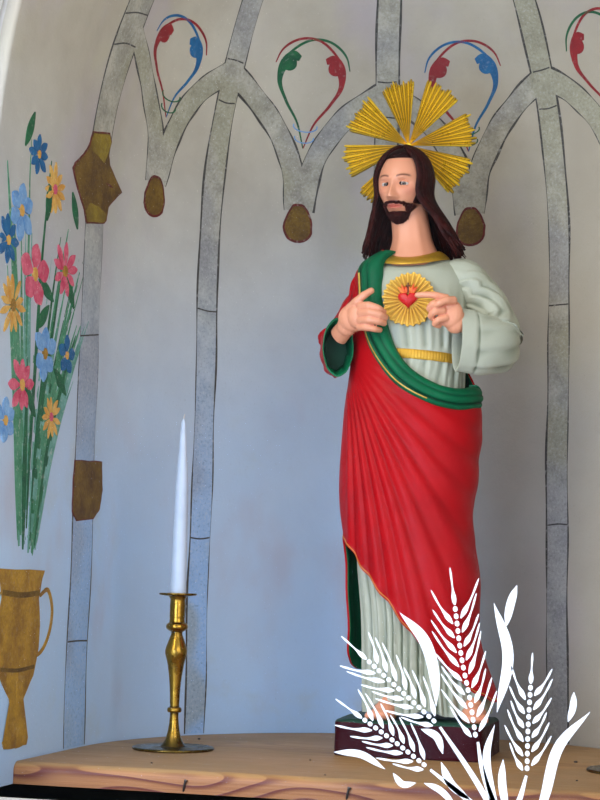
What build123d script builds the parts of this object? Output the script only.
from build123d import *
import os
from math import cos, pi, radians, sin, sqrt

os.makedirs("parts", exist_ok=True)

# Millimetres. X runs along the front, Y runs from the glazed front into the niche, Z is up.
# The origin is the centre of the underside.

# Masonry housing
niche_radius = 424.0
niche_straight = 346.0
spring_rise = 732.0
vault_rise = 616.0
wall = 150.0
crown = 130.0
floor_height = 143.0
apse_bays = 5
haunch_angle = 35.0

# Glazing rebate, frame and pane
rebate_width = 60.0
rebate_depth = 45.0
frame_clearance = 2.0
frame_width = 38.0
frame_depth = 30.0
glass_rebate = 12.0
glass_thickness = 4.0
glass_clearance = 1.0
frame_below_floor = 3.0

# Shelf and sill board
shelf_thickness = 27.0
shelf_setback = 125.0
shelf_clearance = 2.0
shelf_nose = 11.0
sill_thickness = 24.0
sill_length = 245.0

# Candlesticks and candles
stick_height = 212.0
stick_base_radius = 56.0
stick_base_height = 4.0
stick_pan_radius = 26.0
stick_pan_height = 4.0
stick_socket_radius = 10.8
stick_spacing = 615.0
stick_shift = 10.0
stick_inset = 243.0
candle_radius = 11.2
candle_tip_radius = 3.4
candle_height = 245.0
spigot_radius = 8.6
spigot_depth = 20.0
spigot_clearance = 0.3

# Turned stem, as radius and height over the shelf
stem_foot = (17.5, stick_base_height)
stem_flare = (9.2, 20.5)
stem_waist = (5.8, 45.0)
ring = ((9.4, 51.0), (10.0, 53.5), (9.4, 56.0))
baluster = ((6.4, 60.0), (7.6, 85.0), (10.4, 109.0), (15.4, 132.0), (7.8, 156.0))
collar_ring = ((7.8, 160.0), (15.1, 167.0), (stick_socket_radius, 174.0))

# Figure plinth
plinth_width = 206.0
plinth_depth = 172.0
plinth_height = 50.0
plinth_shift = 22.0
plinth_inset = 268.0
plinth_round = 6.0

# Figure: the waist's height over the shelf, and rises over the waist
waist_height = 553.0
elbow_rise = 20.0
palm_rise = 48.0
chest_rise = 73.0
shoulder_rise = 121.0
neck_rise = 151.0

# Robe and mantle
pleats = 24
pleat_depth = 4.5
pleat_inset = 0.15
mantle_thickness = 9.0
hem_left_height = 285.0
hem_right_height = 80.0
hem_half_span = 100.0
hem_sag = 14.0
front_edge = ((-50, 160), (-54, 107), (-43, 36), (-6, -24), (37, -48), (62, -50), (130, -52))
back_edge = ((-18, 170), (-8, 130), (23, 87), (49, 7), (76, -50), (130, -52))
fold_turns = (-60, -42, -24, -5, 16, 38)
fold_stations = ((0.12, 0.45), (0.35, 0.9), (0.57, 1.0), (0.8, 0.85), (1.0, 0.35))
fold_radius = 5.0
fold_lift = 1.5
fold_start = 45.0
fold_step = 20.0
band_radius = 15.0
sleeve_cloth = 5.0
cuff_depth = 20.0

# Head, hair, hands and feet
head_height = 118.0
head_width = 76.0
head_depth = 92.0
head_rise = 82.0
head_shift = -31.0
head_turn = -12.0
eye_size = 13.0
nose_width = 9.0
nose_depth = 7.0
beard_depth = 10.0
neck_radius = 25.0
finger_radius = 5.0
finger_share = 0.42
foot_length = 62.0
foot_width = 36.0
foot_height = 22.0
toe_radius = 4.6
toe_spacing = 6.4
toe_length = 16.0
toe_reach = 21.0

# Belt, collar, rays, heart and nimbus
belt_band = 15.0
belt_thickness = 3.0
collar_radius = 5.0
rays_radius = 37.0
rays_depth = 35.0
rays_count = 28
heart_size = 27.0
heart_thickness = 8.0
nimbus_radius = 104.0
nimbus_thickness = 3.0
nimbus_hub = 14.0
nimbus_rise = 91.0
nimbus_shift = -37.0
nimbus_strip_length = 48.0
nimbus_strip_width = 8.0
nimbus_strip_thickness = 2.5

# Clusters of the nimbus: middle angle, spread and number of rays
nimbus_clusters = (
    (101, 31, 7),
    (58, 34, 7),
    (12, 32, 7),
    (-33, 37, 7),
    (146, 36, 7),
    (192, 31, 6),
    (229, 17, 4),
)

# Places worked out from the sizes above
half_width = niche_radius + wall
total_depth = rebate_depth + niche_straight + niche_radius + wall
face_y = -total_depth / 2
arris_y = face_y + rebate_depth
apse_y = arris_y + niche_straight
shelf_top = floor_height + shelf_thickness
spring_z = shelf_top + spring_rise
shelf_front_y = arris_y + shelf_setback
plinth_y = shelf_front_y + plinth_inset + plinth_depth / 2
figure_x = plinth_shift
far = 4 * total_depth
half_turn = 180.0


def save(piece, label):
    """Label a finished piece and write it as its own STEP file."""
    piece.part.label = label
    export_step(piece.part, f"parts/{label}.step")


def front_plane(y, z=0.0):
    """Plane that faces the viewer at depth y, drawn with X to the right and Z up."""
    return Plane(origin=(0, y, z), x_dir=(1, 0, 0), z_dir=(0, -1, 0))


def arch_face(grow, drop, height=spring_rise):
    """Draw the niche outline on the current sketch, grown all round and run down past the springing."""
    Ellipse(niche_radius + grow, vault_rise + grow)
    with Locations((0, -(vault_rise + grow) / 2)):
        Rectangle(2 * (niche_radius + grow), vault_rise + grow, mode=Mode.SUBTRACT)
    if drop > 0:
        with Locations((0, -drop / 2)):
            Rectangle(2 * (niche_radius + grow), drop)


# Base block: floor of the niche, with a seat for the sill board and the glazing rebate
rebate_bottom = floor_height - frame_below_floor - frame_width
with BuildPart() as base_block:
    with BuildSketch():
        with Locations((0, apse_y)):
            Circle(half_width)
        with Locations((0, (face_y + apse_y) / 2)):
            Rectangle(2 * half_width, apse_y - face_y)
        with Locations((0, face_y - half_width / 2)):
            Rectangle(2 * half_width, half_width, mode=Mode.SUBTRACT)
    extrude(amount=floor_height)
    with Locations((0, arris_y + sill_length / 2, floor_height)):
        Box(2 * niche_radius, sill_length, 2 * sill_thickness, mode=Mode.SUBTRACT)
    with Locations((0, face_y + rebate_depth / 2, floor_height)):
        rebate_span = 2 * (niche_radius + rebate_width)
        Box(rebate_span, rebate_depth, 2 * (floor_height - rebate_bottom), mode=Mode.SUBTRACT)
save(base_block, "base_block")


# Jambs beside the straight part of the niche
def jamb(side):
    """Side wall from the base to the springing, notched for the glazing frame."""
    with BuildPart() as piece:
        with BuildSketch(Plane.XY.offset(floor_height)):
            with Locations((side * (niche_radius + wall / 2), (face_y + apse_y) / 2)):
                Rectangle(wall, apse_y - face_y)
            with Locations((side * (niche_radius + rebate_width / 2), face_y + rebate_depth / 2)):
                Rectangle(rebate_width, rebate_depth, mode=Mode.SUBTRACT)
        extrude(amount=spring_z - floor_height)
    return piece


save(jamb(-1), "left_jamb")
save(jamb(1), "right_jamb")

# Barrel vault over the straight part, with the rebate in its front face
with BuildPart() as barrel:
    with BuildSketch(front_plane(face_y, spring_z)):
        Ellipse(half_width, vault_rise + crown)
        with Locations((0, -(vault_rise + crown) / 2)):
            Rectangle(2 * half_width, vault_rise + crown, mode=Mode.SUBTRACT)
        Ellipse(niche_radius, vault_rise, mode=Mode.SUBTRACT)
    extrude(amount=face_y - apse_y)
    with BuildSketch(front_plane(face_y, spring_z)):
        arch_face(rebate_width, 0)
    extrude(amount=-rebate_depth, mode=Mode.SUBTRACT)


def barrel_part(from_angle, to_angle):
    """Part of the barrel between two angles, measured from the crown to the right."""
    with BuildPart() as piece:
        add(barrel.part)
        with BuildSketch(front_plane(face_y, spring_z)):
            Polygon(
                (0, 0),
                (far * sin(radians(from_angle)), far * cos(radians(from_angle))),
                (far * sin(radians(to_angle)), far * cos(radians(to_angle))),
                align=None,
            )
        extrude(amount=face_y - apse_y, mode=Mode.INTERSECT)
    return piece


def haunch(side):
    """Side part of the barrel, from the springing up to the crown piece."""
    with BuildPart() as piece:
        add(barrel.part)
        with BuildSketch(front_plane(face_y, spring_z)):
            Polygon(
                (0, 0),
                (side * far, 0),
                (side * far, far),
                (side * far * sin(radians(haunch_angle)), far * cos(radians(haunch_angle))),
                align=None,
            )
        extrude(amount=face_y - apse_y, mode=Mode.INTERSECT)
    return piece


save(haunch(-1), "vault_left_haunch")
save(barrel_part(-haunch_angle, haunch_angle), "vault_crown")
save(haunch(1), "vault_right_haunch")

# Apse: wall bays up to the springing and half-dome bays above them, each turned about the same axis
bay_angle = half_turn / apse_bays


def bay_plane(bay):
    """Upright plane through the apse axis, at the side of a bay where its turn starts."""
    angle = radians(half_turn - bay * bay_angle)
    return Plane(origin=(0, apse_y, 0), x_dir=(cos(angle), sin(angle), 0), z_dir=(sin(angle), -cos(angle), 0))


apse_axis = Axis((0, apse_y, 0), (0, 0, -1))


def apse_wall(bay):
    """Round wall of one bay, from the base to the springing."""
    with BuildPart() as piece:
        with BuildSketch(bay_plane(bay)):
            with Locations((niche_radius + wall / 2, (floor_height + spring_z) / 2)):
                Rectangle(wall, spring_z - floor_height)
        revolve(axis=apse_axis, revolution_arc=bay_angle)
    return piece


def apse_vault(bay):
    """Half-dome of one bay, from the springing to the crown, with true quarter ellipses as its section."""
    quarter = (1, sqrt(0.5), 1)
    outer_rise = spring_z + vault_rise + crown
    inner_rise = spring_z + vault_rise
    with BuildPart() as piece:
        with BuildSketch(bay_plane(bay)):
            with BuildLine():
                Line((niche_radius, spring_z), (half_width, spring_z))
                Bezier((half_width, spring_z), (half_width, outer_rise), (0, outer_rise), weights=quarter)
                Line((0, outer_rise), (0, inner_rise))
                Bezier((0, inner_rise), (niche_radius, inner_rise), (niche_radius, spring_z), weights=quarter)
            make_face()
        revolve(axis=apse_axis, revolution_arc=bay_angle)
    return piece


for bay in range(apse_bays):
    save(apse_wall(bay), f"apse_wall_{bay + 1}")
    save(apse_vault(bay), f"apse_vault_{bay + 1}")

# Sill board in its seat, and the shelf that fills the plan of the niche
with BuildPart() as sill_board:
    with BuildSketch(Plane.XY.offset(floor_height - sill_thickness)):
        with Locations((0, arris_y + sill_length / 2)):
            Rectangle(2 * (niche_radius - shelf_clearance), sill_length - 2 * shelf_clearance)
    extrude(amount=sill_thickness)
save(sill_board, "sill_board")

shelf_radius = niche_radius - shelf_clearance
with BuildPart() as shelf:
    with BuildSketch(Plane.XY.offset(floor_height)):
        with Locations((0, apse_y)):
            Circle(shelf_radius)
        with Locations((0, (shelf_front_y + apse_y) / 2)):
            Rectangle(2 * shelf_radius, apse_y - shelf_front_y)
        with Locations((0, shelf_front_y - half_width / 2)):
            Rectangle(2 * half_width, half_width, mode=Mode.SUBTRACT)
    extrude(amount=shelf_thickness)
    fillet(shelf.edges().filter_by(Axis.X).group_by(Axis.Y)[0].sort_by(Axis.Z)[-1], radius=shelf_nose)
save(shelf, "shelf")

# Glazing frame and pane
frame_outer = rebate_width - frame_clearance
frame_inner = frame_outer - frame_width
frame_top_of_sill = floor_height - frame_below_floor
frame_front_y = arris_y - frame_depth
glass_y = frame_front_y + frame_depth - glass_thickness - glass_clearance


def post(side):
    """Straight side of the glazing frame, with the glass rebate at its back."""
    with BuildPart() as piece:
        with BuildSketch(Plane.XY.offset(frame_top_of_sill - frame_width)):
            post_x = niche_radius + (frame_inner + frame_outer) / 2
            with Locations((side * post_x, frame_front_y + frame_depth / 2)):
                Rectangle(frame_width, frame_depth)
        extrude(amount=spring_z - frame_top_of_sill + frame_width)
        with BuildSketch(Plane.XY.offset(frame_top_of_sill - glass_rebate)):
            rebate_x = niche_radius + frame_inner + glass_rebate / 2
            with Locations((side * rebate_x, (glass_y + frame_front_y + frame_depth) / 2)):
                Rectangle(glass_rebate, frame_front_y + frame_depth - glass_y)
        extrude(amount=spring_z - frame_top_of_sill + glass_rebate, mode=Mode.SUBTRACT)
    return piece


save(post(-1), "frame_left_post")
save(post(1), "frame_right_post")

with BuildPart() as frame_arch:
    with BuildSketch(front_plane(frame_front_y, spring_z)):
        arch_face(frame_outer, 0)
        Ellipse(niche_radius + frame_inner, vault_rise + frame_inner, mode=Mode.SUBTRACT)
    extrude(amount=-frame_depth)
    with BuildSketch(front_plane(glass_y, spring_z)):
        arch_face(frame_inner + glass_rebate, 0)
    extrude(amount=-frame_depth, mode=Mode.SUBTRACT)
save(frame_arch, "frame_arch")

with BuildPart() as frame_sill:
    with BuildSketch(Plane.YZ):
        with Locations((frame_front_y + frame_depth / 2, frame_top_of_sill - frame_width / 2)):
            Rectangle(frame_depth, frame_width)
        with Locations(((glass_y + frame_front_y + frame_depth) / 2, frame_top_of_sill - glass_rebate / 2)):
            Rectangle(frame_front_y + frame_depth - glass_y, glass_rebate, mode=Mode.SUBTRACT)
    extrude(amount=niche_radius + frame_inner, both=True)
save(frame_sill, "frame_sill")

pane_grow = frame_inner + glass_rebate - glass_clearance
with BuildPart() as glass_pane:
    with BuildSketch(front_plane(glass_y, spring_z)):
        arch_face(pane_grow, spring_z - frame_top_of_sill + glass_rebate)
    extrude(amount=-glass_thickness)
save(glass_pane, "glass_pane")

# Turned candlesticks with their candles
stick_y = shelf_front_y + stick_inset
bore_radius = spigot_radius + spigot_clearance


def candlestick(side):
    """Turned brass candlestick: plate, stem with knops, socket and drip pan."""
    x = stick_shift + side * stick_spacing / 2
    pan_z = stick_height - stick_pan_height
    with BuildPart() as piece:
        with BuildSketch(Plane(origin=(x, stick_y, shelf_top), x_dir=(1, 0, 0), z_dir=(0, -1, 0))):
            with BuildLine():
                Polyline((0, 0), (stick_base_radius, 0), (stick_base_radius, stick_base_height), stem_foot)
                Spline(stem_foot, stem_flare, stem_waist, tangents=((-0.7, 1), (-0.1, 1)))
                Line(stem_waist, ring[0])
                ThreePointArc(*ring)
                Line(ring[-1], baluster[0])
                Spline(baluster[0], baluster[1], baluster[2], tangents=((0.05, 1), (0.1, 1)))
                Spline(baluster[2], baluster[3], baluster[4], tangents=((0.2, 1), (-0.3, 1)))
                Line(baluster[4], collar_ring[0])
                ThreePointArc(*collar_ring)
                Polyline(
                    collar_ring[-1],
                    (stick_socket_radius, pan_z),
                    (stick_pan_radius, pan_z + 1.5),
                    (stick_pan_radius, stick_height),
                    (stick_pan_radius - 2, stick_height),
                    (candle_radius, pan_z + 2),
                    (bore_radius, pan_z + 2),
                    (bore_radius, pan_z + 2 - spigot_depth),
                    (0, pan_z + 2 - spigot_depth),
                    (0, 0),
                )
            make_face()
        revolve(axis=Axis((x, stick_y, shelf_top), (0, 0, 1)), revolution_arc=360)
    return piece


def candle(side):
    """Tapered candle with a narrower foot in the socket."""
    x = stick_shift + side * stick_spacing / 2
    seat = shelf_top + stick_height - stick_pan_height + 2
    shoulder = candle_height - 9
    with BuildPart() as piece:
        with BuildSketch(Plane(origin=(x, stick_y, seat), x_dir=(1, 0, 0), z_dir=(0, -1, 0))):
            with BuildLine():
                Polyline(
                    (0, -spigot_depth),
                    (spigot_radius, -spigot_depth),
                    (spigot_radius, 0),
                    (candle_radius, 0),
                    (candle_radius * 0.8, candle_height * 0.62),
                    (candle_tip_radius, shoulder),
                    (0, candle_height),
                    close=True,
                )
            make_face()
        revolve(axis=Axis((x, stick_y, seat), (0, 0, 1)), revolution_arc=360)
    return piece


for side, word in ((-1, "left"), (1, "right")):
    save(candlestick(side), f"{word}_candlestick")
    save(candle(side), f"{word}_candle")

# Plinth of the figure
with BuildPart() as statue_plinth:
    with BuildSketch(Plane.XY.offset(shelf_top)):
        with Locations((figure_x, plinth_y)):
            Rectangle(plinth_width, plinth_depth)
    extrude(amount=plinth_height)
    fillet(statue_plinth.faces().sort_by(Axis.Z)[-1].edges(), radius=plinth_round)
save(statue_plinth, "statue_plinth")


def figure_point(x, y, height):
    """Point of the figure: x and y from the plinth's middle, height over the shelf."""
    return (figure_x + x, plinth_y + y, shelf_top + height)


def pleated_oval(half_w, half_d, depth):
    """Sketch of an oval with the robe's pleats pressed into it."""
    press = (0.0, 0.5, 1.0, 0.5)
    points = []
    for step in range(len(press) * pleats):
        angle = 2 * pi * step / (len(press) * pleats)
        fold = pleat_inset + depth * press[step % len(press)]
        points.append(((half_w - fold) * cos(angle), (half_d - fold) * sin(angle)))
    with BuildSketch() as oval_sketch:
        with BuildLine():
            Spline(*points, periodic=True)
        make_face()
    return oval_sketch.sketch


def oval_loft(sections):
    """Loft through ovals: height, shift in x and y, half width, half depth and the pleats' share."""
    with BuildPart() as piece:
        for height, shift_x, shift_y, half_w, half_d, _ in sections:
            with BuildSketch(Plane.XY.offset(shelf_top + height)):
                with Locations((figure_x + shift_x, plinth_y + shift_y)):
                    Ellipse(half_w, half_d)
        loft(ruled=True)
    return piece


def pleated_loft(sections):
    """Loft through the same ovals with the pleats pressed in by their share of the full depth."""
    ovals = [pleated_oval(half_w, half_d, pleat_depth * share) for _, _, _, half_w, half_d, share in sections]
    with BuildPart() as piece:
        for (height, shift_x, shift_y, *_), oval_sketch in zip(sections, ovals):
            with BuildSketch(Plane.XY.offset(shelf_top + height)):
                with Locations((figure_x + shift_x, plinth_y + shift_y)):
                    add(oval_sketch)
        loft(ruled=True)
    return piece


# Tunic: long robe from the plinth to the neck, drawn in at the belt, with pressed pleats
robe_sections = (
    (plinth_height, 10, 2, 88, 62, 1.0),
    (0.325 * waist_height, -2, 0, 80, 60, 0.9),
    (0.615 * waist_height, -22, 0, 80, 62, 0.6),
    (0.85 * waist_height, -20, 0, 80, 60, 0.4),
    (waist_height, -10, -2, 68, 50, 0.3),
    (waist_height + chest_rise, -16, -2, 82, 56, 0.1),
    (waist_height + shoulder_rise, -20, 2, 72, 46, 0.0),
    (waist_height + neck_rise, -22, 6, 34, 30, 0.0),
)
tunic_form = oval_loft(robe_sections)
tunic = pleated_loft(robe_sections)
save(tunic, "tunic")

# Mantle: wrapped round the lower body and drawn up over one shoulder and the back
cloth = mantle_thickness
wrap_sections = (
    (hem_right_height - 22, 8, 2, 88 + cloth, 62 + cloth, 0),
    (0.36 * waist_height, -6, 0, 85 + cloth, 61 + cloth, 0),
    (0.6 * waist_height, -24, 0, 86 + cloth, 63 + cloth, 0),
    (0.78 * waist_height, -20, 0, 86 + cloth, 62 + cloth, 0),
    (0.905 * waist_height, -16, -2, 80 + cloth, 57 + cloth, 0),
    (waist_height + 25, -17, -2, 78 + cloth, 55 + cloth, 0),
    (waist_height + chest_rise, -17, -2, 83 + cloth, 57 + cloth, 0),
    (waist_height + shoulder_rise, -20, 2, 73 + cloth, 48 + cloth, 0),
    (waist_height + neck_rise - 6, -22, 6, 40 + cloth, 34 + cloth, 0),
)
wrap = oval_loft(wrap_sections)


def on_wrap(turn, height):
    """Point just outside the wrap, turned from the front to the right, where a fold runs."""
    for low, high in zip(wrap_sections, wrap_sections[1:]):
        if height <= high[0]:
            break
    share = (height - low[0]) / (high[0] - low[0])
    shift_x, shift_y, half_w, half_d = (a + (b - a) * share for a, b in zip(low[1:5], high[1:5]))
    x = shift_x + (half_w + fold_lift) * sin(radians(turn))
    y = shift_y - (half_d + fold_lift) * cos(radians(turn))
    return figure_point(x, y, height)


def fold_ridge(from_turn, from_height, to_turn, to_height):
    """Rounded fold that swells from the gathered cloth and dies out above the hem."""
    stations = []
    for share, _ in fold_stations:
        turn = from_turn + (to_turn - from_turn) * share
        height = from_height + (to_height - from_height) * share
        stations.append(Vector(*on_wrap(turn, height)))
    with BuildPart() as piece:
        for index, point in enumerate(stations):
            ahead = stations[min(index + 1, len(stations) - 1)] - stations[max(index - 1, 0)]
            with BuildSketch(Plane(origin=point, x_dir=ahead.cross(Vector(0, 1, 0)), z_dir=ahead)):
                Circle(fold_radius * fold_stations[index][1])
        loft(ruled=True)
    return piece


def front_outline(*points):
    """Closed face in the upright plane through the plinth's middle: a curve, then two corners."""
    with BuildSketch(front_plane(plinth_y, shelf_top)) as outline:
        with BuildLine():
            Spline(*points[:-2])
            Polyline(points[-3], points[-2], points[-1], points[0])
        make_face()
    return outline.sketch


def hem_height(x):
    """Height of the front hem at a distance from the plinth's middle."""
    share = (x + hem_half_span) / (2 * hem_half_span)
    return hem_left_height + (hem_right_height - hem_left_height) * share - hem_sag * sin(pi * share)


folds = []
for number, turn in enumerate(fold_turns):
    start_height = waist_height - fold_start - fold_step * number
    end_height = hem_height(0.9 * hem_half_span * sin(radians(turn))) + fold_radius * 3
    folds.append(fold_ridge(fold_turns[0] - 12 + 3 * number, start_height, turn, end_height))

reach = 3 * hem_half_span
above = waist_height + 2 * neck_rise
hem_places = [share * hem_half_span for share in (-1.3, -0.6, 0, 0.6, 1.3)]
hem_line = [(figure_x + place, hem_height(place)) for place in hem_places]
below_hem = front_outline(*hem_line, (hem_line[-1][0], -reach), (hem_line[0][0], -reach))


def over_edge(edge):
    """Face over the mantle's upper edge, given from the shoulder to the hip as x and rise over the waist."""
    line = [(figure_x + x, waist_height + rise) for x, rise in edge]
    return front_outline(*line, (figure_x + reach, above), (line[0][0], above))


front_opening = over_edge(front_edge)
back_opening = over_edge(back_edge)
with BuildPart() as mantle:
    add(wrap.part)
    for fold in folds:
        add(fold.part)
    extrude(below_hem, amount=plinth_depth, mode=Mode.SUBTRACT)
    extrude(front_opening, amount=plinth_depth, mode=Mode.SUBTRACT)
    extrude(back_opening, amount=-plinth_depth, mode=Mode.SUBTRACT)
    add(tunic_form.part, mode=Mode.SUBTRACT)
save(mantle, "mantle")


def cleared(piece, others, bodies=1):
    """Copy of a piece with the room of others taken out, without the slivers that this leaves."""
    with BuildPart() as copy:
        add(piece.part)
        for other in others:
            add(other.part, mode=Mode.SUBTRACT)
    with BuildPart() as kept:
        add(copy.part.solids().sort_by(SortBy.VOLUME)[-bodies:])
    return kept


def sleeve(stations):
    """Wide sleeve, open at the cuff, lofted through ovals: point on the arm, half width, half height."""
    points = [Vector(*figure_point(*station[:3])) for station in stations]

    def oval_plane(index):
        """Plane across the arm at a station."""
        along = points[min(index + 1, len(points) - 1)] - points[max(index - 1, 0)]
        return Plane(origin=points[index], x_dir=along.cross(Vector(0, 0, 1)), z_dir=along)

    with BuildPart() as piece:
        for index, station in enumerate(stations):
            with BuildSketch(oval_plane(index)):
                Ellipse(station[3], station[4])
        loft(ruled=True)
        with BuildSketch(oval_plane(len(stations) - 1)):
            Ellipse(stations[-1][3] - sleeve_cloth, stations[-1][4] - sleeve_cloth)
        extrude(amount=-cuff_depth, mode=Mode.SUBTRACT)
    return cleared(piece, (tunic_form, mantle))


arm_root = waist_height + shoulder_rise - 6
elbow = waist_height + elbow_rise
right_sleeve = sleeve(
    (
        (-72, 2, arm_root, 24, 25),
        (-94, 0, arm_root - 38, 25, 27),
        (-118, -4, elbow + 12, 25, 34),
        (-124, -20, elbow - 4, 23, 38),
        (-120, -42, elbow - 8, 22, 40),
        (-112, -58, elbow - 8, 21, 41),
    )
)
save(right_sleeve, "right_sleeve")
left_sleeve = sleeve(
    (
        (46, 2, arm_root, 26, 28),
        (78, 0, arm_root - 26, 28, 29),
        (106, -8, elbow + 22, 27, 34),
        (112, -28, elbow - 4, 25, 38),
        (92, -48, elbow - 8, 22, 42),
        (60, -62, elbow - 8, 20, 44),
    )
)
save(left_sleeve, "left_sleeve")


def hand(wrist, tip, width, thickness, reaches, thumb_tip):
    """Palm, four fingers of given reach and a thumb, along the line from wrist to fingertips."""
    along = Vector(*tip) - Vector(*wrist)
    palm = along.length * (1 - finger_share)
    spacing = width / 4.2
    with BuildPart() as piece:
        plane = Plane(origin=wrist, x_dir=(0, 0, 1), z_dir=along)
        with BuildSketch(plane):
            RectangleRounded(width * 0.72, thickness * 0.9, thickness * 0.4)
        with BuildSketch(plane.offset(palm)):
            RectangleRounded(width, thickness, thickness * 0.4)
        loft()
        for finger, reach in enumerate(reaches):
            with BuildSketch(plane.offset(palm - 2)):
                with Locations(((1.5 - finger) * spacing, 0)):
                    Circle(finger_radius)
            extrude(amount=(along.length - palm) * reach)
        root = Vector(*wrist) + along * 0.3
        thumb = Vector(*thumb_tip) - root
        with BuildSketch(Plane(origin=root, z_dir=thumb)):
            Circle(finger_radius * 1.15)
        with BuildSketch(Plane(origin=root + thumb, z_dir=thumb)):
            Circle(finger_radius * 0.9)
        loft()
    return piece


palm_height = waist_height + palm_rise
right_hand = cleared(
    hand(
        figure_point(-102, -56, palm_height),
        figure_point(-42, -86, palm_height + 6),
        44, 17, (0.95, 1.0, 0.95, 0.8),
        figure_point(-62, -80, palm_height + 34),
    ),
    (right_sleeve, tunic_form, mantle),
)
save(right_hand, "right_hand")
left_hand = cleared(
    hand(
        figure_point(76, -56, palm_height - 14),
        figure_point(6, -92, palm_height + 18),
        40, 17, (1.0, 0.42, 0.4, 0.36),
        figure_point(36, -96, palm_height + 18),
    ),
    (left_sleeve, tunic_form, right_hand),
)
save(left_hand, "left_hand")

# Lining of the mantle, turned outwards as a band from the shoulder across the body
with BuildPart() as lining_band:
    with BuildLine() as band_path:
        FilletPolyline(
            figure_point(-62, 2, waist_height + neck_rise - 14),
            figure_point(-70, -60, waist_height + chest_rise + 14),
            figure_point(-62, -66, waist_height + 7),
            figure_point(-10, -72, waist_height - 58),
            figure_point(72, -40, waist_height - 66),
            radius=band_radius * 1.6,
        )
    with BuildSketch(Plane(origin=band_path.line @ 0, z_dir=band_path.line % 0)):
        Circle(band_radius)
    sweep()
mantle_lining = cleared(lining_band, (tunic_form, mantle, right_sleeve, left_sleeve, right_hand, left_hand))
save(mantle_lining, "mantle_lining")

# Head with a plain carved face, turned a little to the left
head_x = figure_x + head_shift
head_y = plinth_y - 8
neck_base = shelf_top + waist_height + neck_rise
head_z = neck_base + head_rise


def oval(width, depth, height, x=0.0, y=0.0, z=0.0):
    """Upright egg-shaped body made by turning a half ellipse and flattening it."""
    with BuildPart() as piece:
        with BuildSketch(Plane.XZ):
            Ellipse(width / 2, height / 2)
            with Locations((-width / 4, 0)):
                Rectangle(width / 2, height, mode=Mode.SUBTRACT)
        revolve(axis=Axis.Z, revolution_arc=360)
    shaped = scale(piece.part, by=(1, depth / width, 1), mode=Mode.PRIVATE)
    with BuildPart() as placed:
        with Locations((x, y, z)):
            add(shaped)
    return placed


eye_apart = 0.18 * head_width
brow_y = -head_depth / 2
with BuildPart() as face:
    add(oval(head_width, head_depth, head_height).part)
    for side in (-1, 1):
        add(oval(eye_size, eye_size, eye_size * 0.8, side * eye_apart, brow_y, 0).part, mode=Mode.SUBTRACT)
    with BuildSketch(Plane.YZ):
        Polygon(
            (brow_y + 6, head_height * 0.08),
            (brow_y - nose_depth, -head_height * 0.17),
            (brow_y + 6, -head_height * 0.22),
            align=None,
        )
    extrude(amount=nose_width / 2, both=True)
    add(oval(nose_width * 2.2, nose_depth, 5, 0, brow_y + 5.5, -head_height * 0.3).part)

with BuildPart() as head:
    with Locations(Location((head_x, head_y, head_z), (0, 0, head_turn))):
        add(face.part)
    with Locations((head_x + 4, plinth_y + 4, neck_base)):
        Cylinder(neck_radius, head_z - neck_base, align=(Align.CENTER, Align.CENTER, Align.MIN))
    add(tunic_form.part, mode=Mode.SUBTRACT)
save(head, "head")

# Long parted hair down to the shoulders, with the beard round the jaw
with BuildPart() as hair_form:
    for height, half_w, half_d, back in (
        (neck_base - 4, 62, 34, 26),
        (head_z - 56, 56, 40, 20),
        (head_z + 4, 46, 46, 10),
        (head_z + 54, 42, 44, 6),
        (head_z + 70, 24, 26, 6),
    ):
        with BuildSketch(Plane.XY.offset(height)):
            with Locations((head_x, plinth_y + back)):
                Ellipse(half_w, half_d)
    loft(ruled=True)
with BuildPart() as beard:
    add(oval(head_width + beard_depth, head_depth + beard_depth, head_height + beard_depth).part)
    with Locations((0, 0, -0.32 * head_height)):
        Box(far, far, far, align=(Align.CENTER, Align.CENTER, Align.MIN), mode=Mode.SUBTRACT)
with BuildPart() as hair_and_beard:
    add(hair_form.part)
    with Locations(Location((head_x, head_y, head_z), (0, 0, head_turn))):
        add(beard.part)
hair = cleared(hair_and_beard, (head, tunic_form, mantle, mantle_lining, right_sleeve, left_sleeve))
save(hair, "hair")


def foot(x, turn):
    """Bare foot with five toes, pointing forward from under the hem."""
    with BuildPart() as piece:
        add(oval(foot_width, foot_length, 2 * foot_height).part)
        for toe in range(5):
            side = (toe - 2) * toe_spacing * (1 if x > 0 else -1)
            with Locations((side, 1.2 * toe - toe_reach, toe_radius)):
                Cylinder(toe_radius * (1.15 - 0.1 * toe), toe_length, rotation=(90, 0, 0))
        with Locations((0, 0, 0)):
            Box(far, far, far, align=(Align.CENTER, Align.CENTER, Align.MAX), mode=Mode.SUBTRACT)
    with BuildPart() as placed:
        with Locations(Location(figure_point(x, -56, plinth_height), (0, 0, turn))):
            add(piece.part)
    return placed


with BuildPart() as both_feet:
    add(foot(-38, -8).part)
    add(foot(86, 12).part)
feet = cleared(both_feet, (tunic_form, mantle), bodies=2)
save(feet, "feet")

# Belt round the waist
with BuildPart() as belt_form:
    with BuildSketch(Plane.XY.offset(shelf_top + waist_height - belt_band / 2)):
        with Locations((figure_x - 10, plinth_y - 2)):
            Ellipse(70 + belt_thickness, 52 + belt_thickness)
    extrude(amount=belt_band)
clothes = (tunic_form, mantle, mantle_lining, right_sleeve, left_sleeve)
belt = cleared(belt_form, (*clothes, right_hand, left_hand))
save(belt, "belt")

# Collar round the neck
with BuildPart() as collar_form:
    with BuildSketch(Plane.XZ.offset(-(plinth_y + 4))):
        with Locations((head_x + 4 + neck_radius + 8, neck_base - 8)):
            Circle(collar_radius)
    revolve(axis=Axis((head_x + 4, plinth_y + 4, 0), (0, 0, 1)), revolution_arc=360)
collar = cleared(collar_form, (tunic_form, head, hair, mantle, mantle_lining))
save(collar, "collar")

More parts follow.
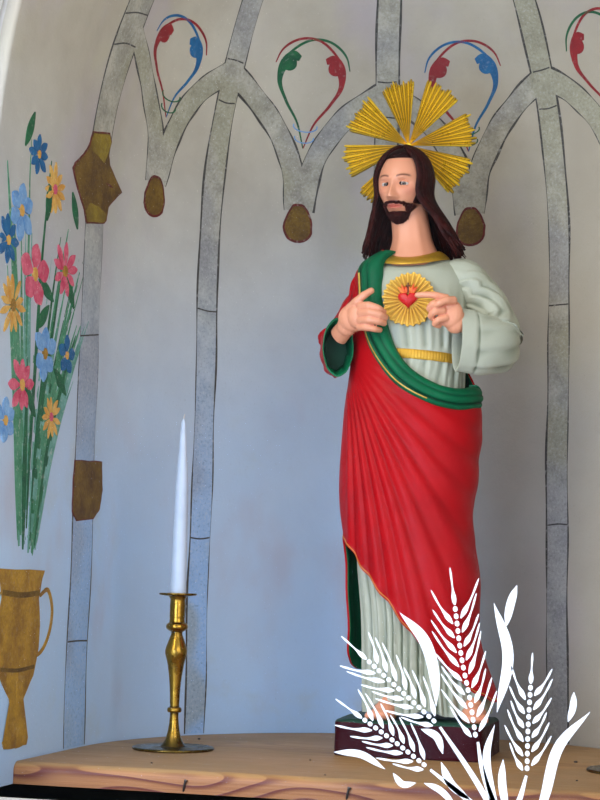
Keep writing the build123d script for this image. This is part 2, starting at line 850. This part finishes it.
# Rays and heart on the breast
rays_y = plinth_y - 62
rays_z = shelf_top + waist_height + chest_rise
rays_plane = Plane(origin=(figure_x - 11, rays_y, rays_z), x_dir=(1, 0, 0), z_dir=(0, -1, 0))
with BuildPart() as rays_form:
    with BuildSketch(rays_plane):
        points = []
        for step in range(2 * rays_count):
            reach = rays_radius * (1.0 if step % 2 == 0 else 0.88)
            angle = radians(90 + step * 180 / rays_count)
            points.append((reach * cos(angle), reach * sin(angle)))
        Polygon(*points, align=None)
    extrude(amount=-rays_depth)
heart_rays = cleared(rays_form, (tunic_form, right_hand, left_hand, mantle_lining, left_sleeve, right_sleeve))
save(heart_rays, "heart_rays")

with BuildPart() as heart_form:
    with BuildSketch(rays_plane):
        lobe = heart_size * 0.28
        with Locations((-lobe, lobe * 0.6), (lobe, lobe * 0.6)):
            Circle(lobe * 1.05)
        with BuildLine():
            point = (0, -heart_size * 0.55)
            Polyline((-heart_size * 0.53, lobe * 0.2), (heart_size * 0.53, lobe * 0.2), point, close=True)
        make_face()
        with Locations((0, heart_size * 0.72)):
            Ellipse(heart_size * 0.2, heart_size * 0.5)
    extrude(amount=heart_thickness)
heart = cleared(heart_form, (right_hand, left_hand))
save(heart, "heart")

# Nimbus of ray clusters behind the head, on its pin
nimbus_y = plinth_y + head_depth / 2
nimbus_z = head_z + nimbus_rise


def nimbus_ray(angle, length, half_angle):
    """Draw one slim ray that widens outwards and ends in a point."""
    tip = length
    shoulder = length * 0.93
    Polygon(
        (0, 0),
        (shoulder * cos(radians(angle - half_angle)), shoulder * sin(radians(angle - half_angle))),
        (tip * cos(radians(angle)), tip * sin(radians(angle))),
        (shoulder * cos(radians(angle + half_angle)), shoulder * sin(radians(angle + half_angle))),
        align=None,
    )


with BuildPart() as nimbus:
    nimbus_middle = (figure_x + nimbus_shift, nimbus_y, nimbus_z)
    with BuildSketch(Plane(origin=nimbus_middle, x_dir=(1, 0, 0), z_dir=(0, -1, 0))):
        Circle(nimbus_hub)
        for middle, spread, count in nimbus_clusters:
            step = spread / count
            for ray in range(count):
                angle = middle + (ray - (count - 1) / 2) * step
                fall = abs(ray - (count - 1) / 2) / count
                nimbus_ray(angle, nimbus_radius * (1 - 0.16 * fall), step * 0.46)
    extrude(amount=-nimbus_thickness)
save(nimbus, "nimbus")

with BuildPart() as nimbus_pin:
    with BuildSketch(front_plane(nimbus_y, nimbus_z)):
        with Locations((figure_x + nimbus_shift, -nimbus_strip_length / 2)):
            Rectangle(nimbus_strip_width, nimbus_strip_length)
    extrude(amount=nimbus_strip_thickness)
    with BuildSketch(front_plane(nimbus_y, nimbus_z)):
        with Locations((figure_x + nimbus_shift, nimbus_strip_width / 2 - nimbus_strip_length)):
            Circle(nimbus_strip_width / 2)
    extrude(amount=head_depth / 2)
    add(hair.part, mode=Mode.SUBTRACT)
    add(head.part, mode=Mode.SUBTRACT)
save(nimbus_pin, "nimbus_pin")
